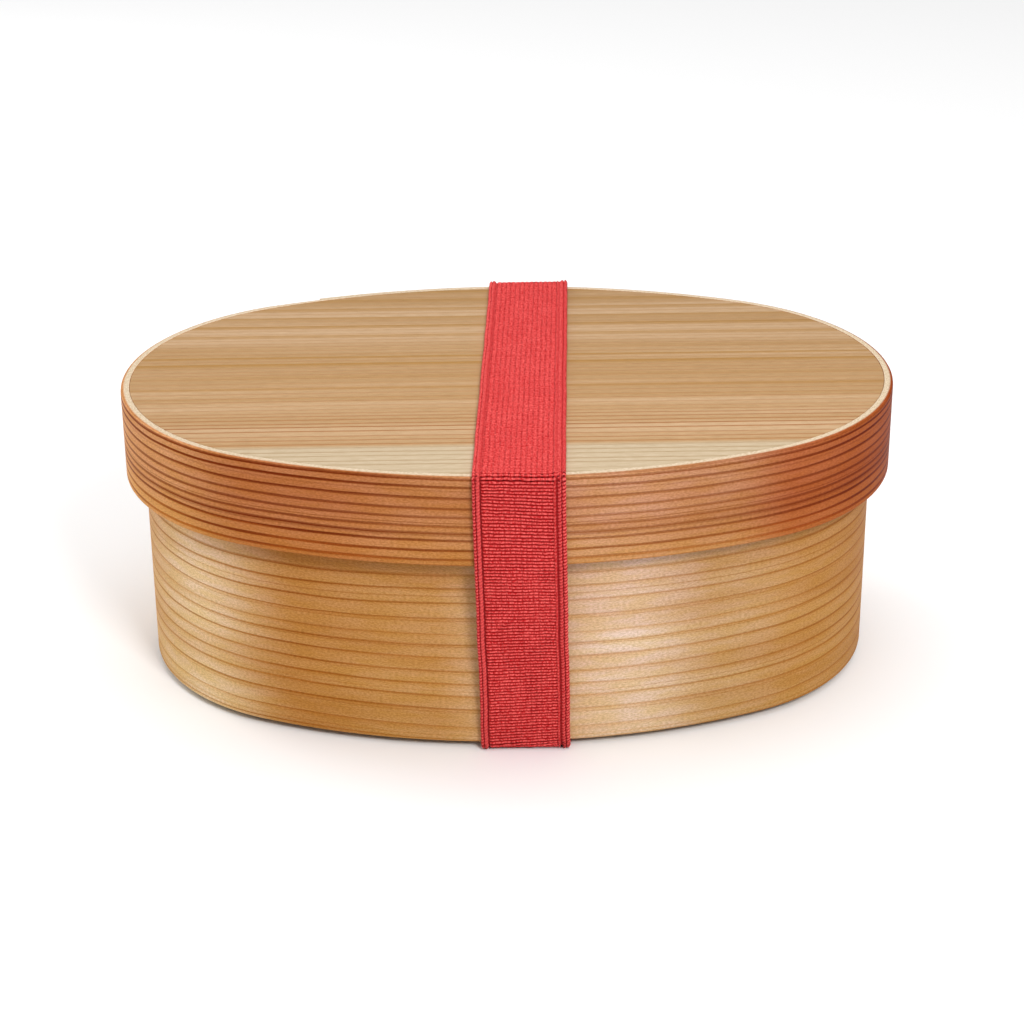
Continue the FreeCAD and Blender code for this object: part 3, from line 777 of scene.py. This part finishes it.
def band_stations():
    """Stations along the band's inner face, at even steps of the rows.

    Gives their (Y, Z) places, distances along the face, outward normals, row numbers, how
    bent the band is there and how far it is lifted over its own start.
    """
    line, distance = band_route()
    count = round(distance[-1] / ROW_PITCH) * ROW_STEPS + 1
    # Rows are counted along the middle of the thickness, which is longer round a bend
    heading = np.unwrap(np.arctan2(np.gradient(line[:, 1]), np.gradient(line[:, 0])))
    middle = distance + 0.5 * BAND_THICKNESS * np.abs(heading - heading[0])
    along = np.interp(np.linspace(0.0, middle[-1], count), middle, distance)
    place = np.column_stack([np.interp(along, distance, axis) for axis in line.T])
    tangent = np.gradient(place, axis=0)
    tangent /= np.linalg.norm(tangent, axis=1, keepdims=True)
    normal = np.stack([tangent[:, 1], -tangent[:, 0]], axis=1)
    angle = np.unwrap(np.arctan2(tangent[:, 1], tangent[:, 0]))
    sharpest = 0.15              # radians from one station to the next
    turning = np.convolve(np.abs(np.gradient(angle)), np.ones(5) / 5, "same")
    bent = np.clip(turning / sharpest, 0.0, 1.0)
    ramp_end = distance[-1] - OVERLAP_LENGTH
    lift = BAND_THICKNESS * ease(np.clip((along - ramp_end + OVERLAP_RAMP) / OVERLAP_RAMP, 0.0, 1.0))
    return place, along, normal, np.arange(count) / ROW_STEPS, bent, lift


def band_profile():
    """Places across the band, the height of its outer face there and how near a rib's gap it is."""
    keys = np.array(LEFT_EDGE + RIGHT_EDGE)
    inner = np.linspace(BODY_LEFT, BODY_RIGHT, RIBS * RIB_STEPS + 1)[1:-1]
    across = np.sort(np.concatenate([keys[:, 0], inner]))
    level = np.interp(across, keys[:, 0], keys[:, 1])
    share = (across - BODY_LEFT) / (BODY_RIGHT - BODY_LEFT)
    on_ribs = (across > BODY_LEFT) & (across < BODY_RIGHT)
    rib = np.where(on_ribs, np.cos(2 * math.pi * share * RIBS), 1.0)
    return across, level, rib


def wobble(shape, row_step, column_step, random):
    """Smooth random unevenness over a grid of this shape, from about -1 to 1."""
    rows, columns = shape
    coarse = random.uniform(-1, 1, (rows // row_step + 3, columns // column_step + 3))
    row, up = np.divmod(np.arange(rows) / row_step, 1)
    column, right = np.divmod(np.arange(columns) / column_step, 1)
    row, column = row.astype(int), column.astype(int)
    up, right = ease(up[:, None]), ease(right)
    near = coarse[np.ix_(row, column)] * (1 - right) + coarse[np.ix_(row, column + 1)] * right
    far = coarse[np.ix_(row + 1, column)] * (1 - right) + coarse[np.ix_(row + 1, column + 1)] * right
    return near * (1 - up) + far * up


def row_slant(place):
    """How steeply the rows slope on the front, where the band is drawn unevenly over the edge.

    They slope one way under the fold and the other way at the foot, and are level between.
    """
    level_height, steepness = 34, 0.002
    front = ease(np.clip((-place[:, 0] - 45 * MM) / (15 * MM), 0.0, 1.0))
    below_fold = np.clip((69 * MM - place[:, 1]) / (6 * MM), 0.0, 1.0)
    return steepness * (place[:, 1] / MM - level_height) * below_fold * front


def woven_height(rows, flat_top, bent, random):
    """The height of the band's outer face over its inner one, row by row, in millimetres."""
    across, level, rib = band_profile()
    shape = len(rows), len(across)
    row, flat, bend = rows[:, None], flat_top[:, None], bent[:, None]
    body = (across > BODY_LEFT - 0.1) & (across < BODY_RIGHT + 0.05)
    grooves = (np.abs(across + CORD) < 0.1) | ((across > CORD - 0.4) & (across < CORD))
    phase = (row + 0.12 * wobble(shape, 21, 9, random)) % 1.0
    crest = np.abs(np.sin(math.pi * phase)) ** 0.8
    row_depth = 0.3 - 0.16 * flat + 0.3 * bend
    rib_depth = 0.07 + 0.08 * flat
    height = level + 0.28 * flat * grooves
    height += body * (row_depth * (crest - 0.75) - rib_depth * (0.5 + 0.5 * rib))
    bead = np.abs(np.sin(math.pi * (row + CORD_SLANT * across))) - 0.6
    height += (np.abs(across) > CORD) * (0.24 + 0.15 * bend) * bead
    height += 0.03 * wobble(shape, 2, 2, random)
    return np.clip(height, LEAST_HEIGHT, MOST_HEIGHT)


def woven_slide(place, across, random):
    """How far each point of the outer face is drawn along the band."""
    shape = len(place), len(across)
    slide = 0.1 * MM * wobble(shape, 40, 14, random)
    slide += 0.045 * MM * wobble(shape, 3, 3, random)
    slide += row_slant(place)[:, None] * across * MM
    slide[0] = 0.0
    slide[-1] = 0.0
    return slide


def make_band(material):
    """The elastic band as one woven strip with corded edges."""
    random = np.random.default_rng(12)
    place, along, normal, rows, bent, lift = band_stations()
    across, _, _ = band_profile()
    flat_top = np.clip((normal[:, 1] - 0.5) / 0.4, 0.0, 1.0)
    height = woven_height(rows, flat_top, bent, random) * MM + lift[:, None]
    slide = woven_slide(place, across, random)
    sway = 0.08 * MM * wobble(height.shape, 30, 200, random)
    cord_sway = (np.abs(across) > CORD) * np.sign(across) * 0.05 * MM * np.cos(math.pi * rows[:, None])

    def surface(offset, shift, out):
        here = along[:, None] + shift
        y = np.interp(here, along, place[:, 0]) + np.interp(here, along, normal[:, 0]) * out
        z = np.interp(here, along, place[:, 1]) + np.interp(here, along, normal[:, 1]) * out
        middle = BAND_PLACE + BAND_SKEW * y + BAND_LEAN * z
        return np.stack([middle + offset, y, z], axis=2)

    outer = surface(across * MM + sway + cord_sway, slide, height)
    under = np.array([9.8, 5.0, 0.0, -5.0, -9.8])
    underside, off_floor = 0.12 * MM, 0.02 * MM
    still = np.zeros((len(rows), len(under)))
    inner = surface(under * MM, still, still + underside + lift[:, None])
    rings = np.concatenate([outer, inner], axis=1)
    rings[:, :, 2] = np.maximum(rings[:, :, 2], off_floor)
    piece = new_tube("elastic_band", rings, material, 80)
    face_outwards(piece)
    weave = np.zeros_like(rings)
    weave[:, :, 0] = np.concatenate([across, under])
    weave[:, :, 1] = rows[:, None]
    weave[:, :, 2] = bent[:, None]
    store(piece, "weave", weave.reshape(-1, 3))
    store(piece, "flat_top", np.repeat(flat_top, rings.shape[1]))
    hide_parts("band_lower", "band_upper")
    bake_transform(piece)


def stitch_rings(start, base, normal):
    """One stitch as rings of points: it begins at start, and its ends dive into the band."""
    share = np.linspace(0.0, 1.0, STITCH_STEPS)[:, None]
    angle = 2 * math.pi * np.arange(STITCH_SIDES) / STITCH_SIDES
    from_middle = 2 * share - 1
    size = STITCH_RADIUS * (0.55 + 0.45 * np.sqrt(1 - from_middle ** 8))
    size = size * (1 + 0.1 * np.cos(3 * angle - 14 * share))
    out = size * np.sin(angle) - STITCH_DIVE * from_middle ** 4
    up = size * np.cos(angle)
    x = np.repeat(start + share * STITCH_LENGTH, STITCH_SIDES, axis=1)
    y = base[0] + normal[0] * out - normal[1] * up
    z = base[1] + normal[1] * out + normal[0] * up
    return np.stack([x, y, z], axis=2).reshape(-1, 3)


def make_seam_thread(material):
    """Two rows of short stitches across the band's overlapped end."""
    place, _, normal, _, _, lift = band_stations()
    overlap = np.nonzero(lift > BAND_THICKNESS * 0.999)[0]
    gap = BAND_WIDTH / (STITCHES_PER_ROW + 0.6)
    stitch_faces = tube_faces(STITCH_STEPS, STITCH_SIDES)
    vertices, faces = [], []
    for share in STITCH_PLACES:
        index = overlap[int(share * (len(overlap) - 1))]
        base = place[index] + normal[index] * (lift[index] + BAND_THICKNESS + 0.1 * MM)
        middle = BAND_PLACE + BAND_SKEW * base[0] + BAND_LEAN * base[1]
        for stitch in range(STITCHES_PER_ROW):
            start = middle + (stitch - (STITCHES_PER_ROW - 1) / 2) * gap - STITCH_LENGTH / 2
            faces += [tuple(len(vertices) + corner for corner in face) for face in stitch_faces]
            vertices += list(stitch_rings(start, base, normal[index]))
    piece = new_piece("band_stitches", vertices, faces, material, 60)
    face_outwards(piece)
    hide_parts("band_seam_thread")
    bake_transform(piece)


def weave_gaps(tree, weave, across, rows, flat_top):
    """The painted shade in the gaps of the ribbed body, between its rows and between its ribs.

    Gives how deep a point is in a gap between rows, how far it is from a row's middle and
    from the nearest gap between ribs, and how dark the painted shade in the gaps makes it.
    """
    uneven = calculate(tree, "SUBTRACT", noise(tree, weave, (0.5, 0.35, 0.0)), 0.5)
    phase = calculate(tree, "FRACT", plus(tree, rows, times(tree, uneven, 0.45)))
    from_row = distance_from(tree, phase, 0.5)
    gap = fade(tree, from_row, 0.22, 0.42)
    rib = times(tree, calculate(tree, "SUBTRACT", across, BODY_LEFT), RIBS / (BODY_RIGHT - BODY_LEFT))
    from_rib_gap = distance_from(tree, calculate(tree, "FRACT", plus(tree, rib, 0.5)), 0.5)
    rib_gap = fade(tree, from_rib_gap, 0.32, 0.03)
    speckle = fade(tree, noise(tree, weave, (2.2, 0.7, 0.0), roughness=0.7), 0.36, 0.62, 0.25, 1.5)
    rib_weight = times(tree, fade(tree, flat_top, 0.0, 1.0, 0.3, 0.42), speckle)
    # Painted shade between rows: strong on the sides, faint on the flat top where the light from above
    # reaches
    row_shade = times(tree, gap, fade(tree, flat_top, 0.0, 1.0, 0.95, 0.15))
    dark = calculate(tree, "MAXIMUM", row_shade, times(tree, rib_gap, rib_weight), clamp=True)
    on_body = within(tree, across, BODY_LEFT - 0.2, BODY_LEFT - 0.1, BODY_RIGHT, BODY_RIGHT + 0.1)
    return gap, from_row, from_rib_gap, times(tree, dark, on_body)


def corded_edges(tree, tone, across, rows, flat_top):
    """Lay on the tone painted shade in the grooves and seams, the cords' slanting stitches with painted
    shade and highlights, and painted sheen on the left inner cord.
    """
    # Painted shade in the grooves, fainter on the flat top
    left_groove = within(tree, across, -8.45, -8.3, -8.1, -7.95)
    right_groove = within(tree, across, 7.7, 7.84, 8.14, 8.3)
    groove = calculate(tree, "MAXIMUM", left_groove, right_groove)
    groove = times(tree, groove, fade(tree, flat_top, 0.0, 1.0, 0.8, 0.3))
    tone = blend(tree, groove, tone, colour(130, 8, 16))

    # The painted shade, highlights and sheen below are weaker on the flat top than on the sides
    side_weight = fade(tree, flat_top, 0.0, 1.0, 1.0, 0.35)
    on_cord = calculate(tree, "MAXIMUM", fade(tree, across, -8.3, -8.45), fade(tree, across, 8.16, 8.3))
    on_cord = times(tree, on_cord, side_weight)
    turn = times(tree, plus(tree, rows, times(tree, across, CORD_SLANT)), math.pi)
    bead = calculate(tree, "ABSOLUTE", calculate(tree, "SINE", turn))
    # Painted shade between the stitches and a painted highlight on their crowns
    between = times(tree, fade(tree, bead, 0.75, 0.2, 0.0, 0.85), on_cord)
    crown = times(tree, fade(tree, bead, 0.8, 1.0, 0.0, 0.35), on_cord)
    tone = blend(tree, between, tone, colour(150, 14, 24))
    tone = blend(tree, crown, tone, colour(240, 116, 112))
    # Painted sheen on the left inner cord
    left_cord_sheen = times(tree, fade(tree, across, -8.35, -8.5), fade(tree, across, -9.25, -9.1, 0.0, 0.4))
    tone = blend(tree, times(tree, left_cord_sheen, side_weight), tone, colour(226, 84, 82))
    # Painted shade in the crease where each corded edge parts into two cords
    for seam in CORD_SEAMS:
        seam_shade = fade(tree, distance_from(tree, across, seam), 0.16, 0.06, 0.0, 0.75)
        tone = blend(tree, times(tree, seam_shade, side_weight), tone, colour(132, 8, 16))
    return tone


def woven_elastic():
    """Red polyester yarn: rows with painted highlights on their crests and painted shade in the gaps
    between them, and corded edges.
    """
    material, tree, shader = new_material("elastic")
    weave = stored(tree, "weave", "Vector")
    across, rows, bent = parts_of(tree, weave)
    flat_top = stored(tree, "flat_top", "Fac")
    gap, from_row, from_rib_gap, dark = weave_gaps(tree, weave, across, rows, flat_top)

    # Painted highlight along each row's crest, broken up by noise
    highlight_breakup = noise(tree, weave, (2.6, 1.3, 0.0), roughness=0.6)
    crest_highlight = times(tree, fade(tree, highlight_breakup, 0.34, 0.6), fade(tree, from_row, 0.34, 0.1, 0.35, 1.0))
    tone = blend(tree, crest_highlight, colour(190, 28, 32), colour(238, 98, 94))
    # Painted shade in the gaps between rows and ribs
    tone = blend(tree, dark, tone, colour(130, 2, 5))
    tone = corded_edges(tree, tone, across, rows, flat_top)
    # The rows open at a bend, and painted shade darkens the openings here and there
    broken = fade(tree, noise(tree, weave, (0.9, 0.7, 0.0), detail=1.0), 0.3, 0.5)
    open_rib = times(tree, broken, fade(tree, from_rib_gap, 0.36, 0.12, 0.15, 1.0))
    opening_shade = times(tree, times(tree, bent, gap), open_rib)
    tone = blend(tree, opening_shade, tone, colour(90, 4, 10))
    yarn = noise(tree, weave, (5.0, 6.0, 0.0), detail=3.0, roughness=0.7)
    relief = calculate(tree, "SUBTRACT", times(tree, yarn, 0.6), dark)
    set_inputs(tree, shader, {
        "Base Color": tone, "Roughness": 0.62, "Specular IOR Level": 0.08,
        "Sheen Weight": 0.04, "Sheen Roughness": 0.4,
        "Normal": bump(tree, relief, 0.5, 0.12 * MM),
    })
    return material


def sewing_thread():
    """Dark red polyester thread with a fine twist."""
    material, tree, shader = new_material("thread")
    x, _, z = parts_of(tree, place_in_mm(tree))
    slant = plus(tree, times(tree, x, 14.0), times(tree, z, 18.0))
    ply = fade(tree, calculate(tree, "SINE", slant), -0.8, 0.8)
    tone = blend(tree, ply, colour(96, 4, 12), colour(150, 20, 30))
    set_inputs(tree, shader, {
        "Base Color": tone, "Roughness": 0.5, "Sheen Weight": 0.2,
        "Normal": bump(tree, ply, 0.4, 0.06 * MM),
    })
    return material


# -------------------- bark lacing

def lacing_route(low, high, stack):
    """The strip's route as points (along the wall, out of it, up), and how many rows it has.

    It lies over the lap's outer face in each row, and steps up to the next one inside.
    """
    rows = round((high.z - low.z - LACING_WIDTH) / LACING_PITCH) + 1
    half = 0.5 * LACING_THICKNESS
    reach = 0.5 * LACING_BAR - half
    outside = half + LACING_CLEARANCE
    inside = -stack - half - LACING_CLEARANCE
    corners = []
    for row in range(rows):
        height = low.z + LACING_WIDTH / 2 + row * LACING_PITCH
        corners += [
            (-reach, inside, height), (-reach, outside, height),
            (reach, outside, height), (reach, inside, height),
        ]
    return ease_route(np.array(corners), LACING_BEND), rows


def towards(corner, other, reach):
    """The point this far from a corner towards another, but less than half way."""
    length = np.linalg.norm(other - corner)
    return corner + (other - corner) / length * min(reach, 0.45 * length)


def ease_route(corners, radius):
    """A 3-D polyline with each corner turned in a small curve, in short steps."""
    points = [corners[0]]
    for before, corner, after in zip(corners, corners[1:], corners[2:]):
        start, stop = towards(corner, before, radius), towards(corner, after, radius)
        points += list(np.linspace(points[-1], start, 6)[1:])
        points += [curve(start, corner, stop, share) for share in np.linspace(0.0, 1.0, 6)[1:]]
    points += list(np.linspace(points[-1], corners[-1], 6)[1:])
    return np.array(points)


def make_lacing(name, node, body, inset, thickness, material):
    """One bark strip laced in and out through a lap, from its lowest row to its highest."""
    route, rows = lacing_route(*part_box(node), thickness + SCARF_TIP + GLUE)
    half, half_width = 0.5 * LACING_THICKNESS, 0.5 * LACING_WIDTH
    section = rounded_outline([
        (-half, -half_width, LACING_ROUND), (half, -half_width, LACING_ROUND),
        (half, half_width, LACING_ROUND), (-half, half_width, LACING_ROUND),
    ], 3)
    random = np.random.default_rng(rows)
    knots = np.arange(0, len(route) + 9, 8)
    strays = random.uniform(-LACING_DRIFT, LACING_DRIFT, len(knots))
    drift = np.interp(np.arange(len(route)), knots, strays)
    tangent = np.gradient(route[:, :2], axis=0)
    tangent /= np.maximum(np.linalg.norm(tangent, axis=1, keepdims=True), 1e-9)
    radius = SIDE_RADIUS - inset
    rings = []
    for point, heading, shift in zip(route, tangent, drift):
        along = point[0] - heading[1] * section[:, 0]
        crown = LACING_CROWN * (1 - (section[:, 1] / half_width) ** 2) * heading[0]
        out = radius + point[1] + heading[0] * section[:, 0] + crown
        turn = math.pi / 2 + LACING_ANGLE + along / radius
        x = out * np.cos(turn)
        y = out * np.sin(turn) - SIDE_CENTRE
        rings.append(np.column_stack([x, y, point[2] + section[:, 1] + shift]))
    piece = new_tube(name, np.array(rings), material, 50)
    face_outwards(piece)
    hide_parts(node)
    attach(piece, body)


# -------------------- run

def main():
    make_camera()
    make_floor()
    make_light()
    wall_wood = cedar_strip(
        "cedar_wall", pitch=3.3, width=0.55, drift=5.0, seed=3.0, weakest=0.3,
        late_wood=((0.78, 0.56, 0.32), (0.6, 0.38, 0.2)), reddens=(-20.0, 100.0),
        rim_tone=colour(214, 184, 142),
        # Pale stops from 125 to 155 mm and from 230 to 284 mm are painted sheen; the darker stops at 185
        # mm and from 311 to 345 mm are the wood's deeper tone, partly painted shade where the light falls
        # off
        stops=(
            (0, (198, 148, 92)), (125, (206, 163, 114)), (155, (228, 196, 160)),
            (185, (178, 124, 68)), (216, (186, 138, 86)), (230, (206, 167, 130)),
            (260, (217, 190, 172)), (284, (187, 149, 110)), (311, (180, 132, 79)),
            (345, (182, 130, 76)), (525, (198, 148, 92)),
        ),
    )
    hoop_wood = cedar_strip(
        "cedar_hoop", pitch=2.05, width=0.72, drift=2.5, seed=11.0, weakest=0.7,
        late_wood=((0.64, 0.36, 0.13), (0.32, 0.11, 0.02)), reddens=(48.0, 58.0),
        rim_tone=colour(208, 188, 160),
        # Pale stops from 130 to 150 mm and at 258 mm are painted sheen; the darker stops from 301 to 400
        # mm are partly the wood's redder tone and partly painted shade where the light falls off
        stops=(
            (0, (182, 108, 56)), (130, (214, 154, 92)), (150, (217, 159, 103)),
            (177, (184, 118, 70)), (195, (181, 116, 69)), (217, (184, 125, 76)),
            (258, (194, 144, 105)), (281, (183, 130, 89)), (301, (168, 95, 54)),
            (322, (160, 84, 40)), (345, (151, 68, 22)), (400, (172, 96, 50)),
            (525, (182, 108, 56)),
        ),
    )
    top_wood = cedar_board("cedar_lid_board", (0, 1, 2), -43.0)
    floor_wood = cedar_board("cedar_base_board", (0, 1, 2))
    divider_wood = cedar_board("cedar_divider", (1, 2, 0))
    bark = cherry_bark()
    make_lid_hoop(hoop_wood)
    make_base_wall(wall_wood)
    make_board("lid_top_board", "lid_board", "lid", HOOP_BOARD_INSET, top_wood)
    make_board("base_floor_board", "base_bottom", "base", BASE_BOARD_INSET, floor_wood)
    make_lacing("base_lacing_bark", "base_lacing", "base", BASE_INSET, WALL_THICKNESS, bark)
    make_lacing("lid_lacing_bark", "lid_lacing", "lid", 0.0, HOOP_THICKNESS, bark)
    make_band(woven_elastic())
    make_seam_thread(sewing_thread())
    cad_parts["divider"].data.materials.clear()
    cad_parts["divider"].data.materials.append(divider_wood)


main()
